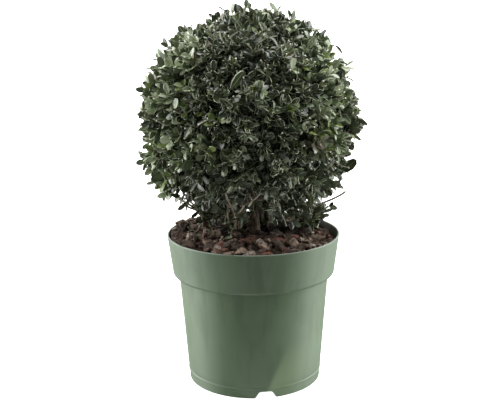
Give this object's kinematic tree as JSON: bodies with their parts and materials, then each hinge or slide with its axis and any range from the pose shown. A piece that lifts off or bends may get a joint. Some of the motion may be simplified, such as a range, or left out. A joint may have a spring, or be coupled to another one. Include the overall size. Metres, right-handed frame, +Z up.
{
  "type": "potted japanese holly",
  "caption": "Evergreen shrub clipped to a ball of small leaves on a clump of thin stems, in a tapered plastic nursery pot topped with bark mulch.",
  "frame": {"origin": "centre of the ring that the pot stands on, on the floor under the middle of the pot", "axes": "+Z up, -Y towards the front of the picture, +X to the right of the picture"},
  "size_m": [0.2527, 0.2562, 0.4457],
  "materials": {
    "pot_plastic": "satin moulded plastic, sage green",
    "bark_mulch": "rough shredded bark",
    "stem_bark": "pale grey-brown bark",
    "leaf": "leathery leaf with a soft gloss"
  },
  "bodies": {
    "root": {"pot": "pot_plastic", "soil": "bark_mulch", "stem_centre": "stem_bark", "stem_right": "stem_bark", "stem_back": "stem_bark", "stem_left": "stem_bark", "stem_front": "stem_bark", "bough_middle_3": "stem_bark", "bough_middle_6": "stem_bark", "bough_upper_1": "stem_bark", "bough_upper_2": "stem_bark", "bough_upper_3": "stem_bark", "bough_upper_4": "stem_bark", "bough_upper_5": "stem_bark", "foliage_top": "leaf", "foliage_upper_1": "leaf", "foliage_upper_2": "leaf", "foliage_upper_3": "leaf", "foliage_upper_4": "leaf", "foliage_upper_5": "leaf", "foliage_middle_1": "leaf", "foliage_middle_2": "leaf", "foliage_middle_3": "leaf", "foliage_middle_4": "leaf", "foliage_middle_5": "leaf", "foliage_middle_6": "leaf", "foliage_lower_1": "leaf", "foliage_lower_2": "leaf", "foliage_lower_3": "leaf", "foliage_lower_4": "leaf"}
  },
  "joints": []
}
